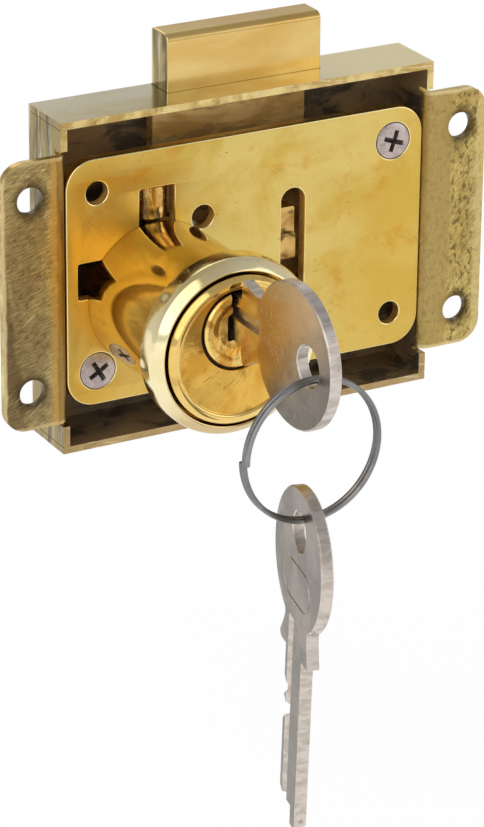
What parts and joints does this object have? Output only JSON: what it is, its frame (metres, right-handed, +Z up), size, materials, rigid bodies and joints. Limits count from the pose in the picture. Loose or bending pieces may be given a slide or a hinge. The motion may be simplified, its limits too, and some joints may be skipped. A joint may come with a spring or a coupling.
{
  "type": "drawer lock",
  "caption": "Brass drawer lock with an open-front case, screw-on ears, a keyed cylinder with a rose ring, an upward bolt, and two keys on a split ring.",
  "frame": {"origin": "centre of the four ear holes, on the plane of the ears' front faces, which lies against the back of the drawer front", "axes": "+X to the right seen from the front, +Z up, the way the bolt throws, -Y toward the front, the way the barrel points"},
  "size_m": [0.09, 0.0738, 0.114],
  "materials": {
    "case_brass": "rolled sheet, polished outside, darkly tarnished inside and on the ears",
    "plate_brass": "smooth lacquered sheet with light scuffs",
    "polished_brass": "turned and mirror polished",
    "plug_brass": "turned, lightly polished face",
    "bolt_brass": "drawn bar, polished with fine lengthwise lines",
    "inner_brass": "turned or milled, unpolished",
    "pin_brass": "turned, unpolished",
    "key_nickel": "satin nickel plate, worn to the brass at the bow's rim",
    "screw_steel": "zinc plated",
    "ring_steel": "hardened drawn wire",
    "spring_steel": "spring steel, bare"
  },
  "bodies": {
    "lock": {"case": "case_brass", "cap_plate": "plate_brass", "post_upper": "inner_brass", "post_lower": "inner_brass", "cap_screw_upper": "screw_steel", "cap_screw_lower": "screw_steel", "cylinder_body": "polished_brass", "retaining_clip": "spring_steel", "stop_block": "inner_brass", "driver_pin_1": "pin_brass", "driver_pin_2": "pin_brass", "driver_pin_3": "pin_brass", "driver_pin_4": "pin_brass", "driver_pin_5": "pin_brass", "pin_spring_1": "spring_steel", "pin_spring_2": "spring_steel", "pin_spring_3": "spring_steel", "pin_spring_4": "spring_steel", "pin_spring_5": "spring_steel", "chamber_plug_1": "pin_brass", "chamber_plug_2": "pin_brass", "chamber_plug_3": "pin_brass", "chamber_plug_4": "pin_brass", "chamber_plug_5": "pin_brass"},
    "plug": {"plug": "plug_brass", "key_pin_1": "pin_brass", "key_pin_2": "pin_brass", "key_pin_3": "pin_brass", "key_pin_4": "pin_brass", "key_pin_5": "pin_brass", "cam": "inner_brass", "drive_pin": "screw_steel", "cam_clip": "spring_steel"},
    "bolt": {"bolt": "bolt_brass", "bolt_stud": "inner_brass"},
    "rose": {"rose_ring": "polished_brass"},
    "key": {"key_inserted": "key_nickel"},
    "ring": {"split_ring": "ring_steel"},
    "spare": {"key_spare": "key_nickel"}
  },
  "joints": [
    {"name": "plug_turn", "type": "hinge", "parent": "lock", "child": "plug", "pos_m": [-0.0167, 0, 0], "axis": [0, 1, 0], "range_deg": [0, 90]},
    {"name": "bolt_throw", "type": "slide", "parent": "lock", "child": "bolt", "axis": [0, 0, 1], "range_m": [-0.00951, 0]},
    {"name": "key_withdraw", "type": "slide", "parent": "plug", "child": "key", "axis": [0, -1, 0], "range_m": [0, 0.032], "deforming": ["key_pin_1", "driver_pin_1", "pin_spring_1", "key_pin_2", "driver_pin_2", "pin_spring_2"]},
    {"name": "rose_slide", "type": "slide", "parent": "lock", "child": "rose", "axis": [0, 1, 0], "range_m": [0, 0.02]},
    {"name": "ring_swing", "type": "hinge", "parent": "key", "child": "ring", "pos_m": [-0.0167, -0.05, 0], "axis": [1, 0, 0], "range_deg": [-50, 25]},
    {"name": "spare_swing", "type": "hinge", "parent": "ring", "child": "spare", "pos_m": [-0.0167, -0.04955, -0.02344], "axis": [1, 0, 0], "range_deg": [-50, 40]}
  ],
  "couplings": [
    {"joint": "bolt_throw", "follows": "plug_turn", "m_per_rad": -0.0060479}
  ]
}
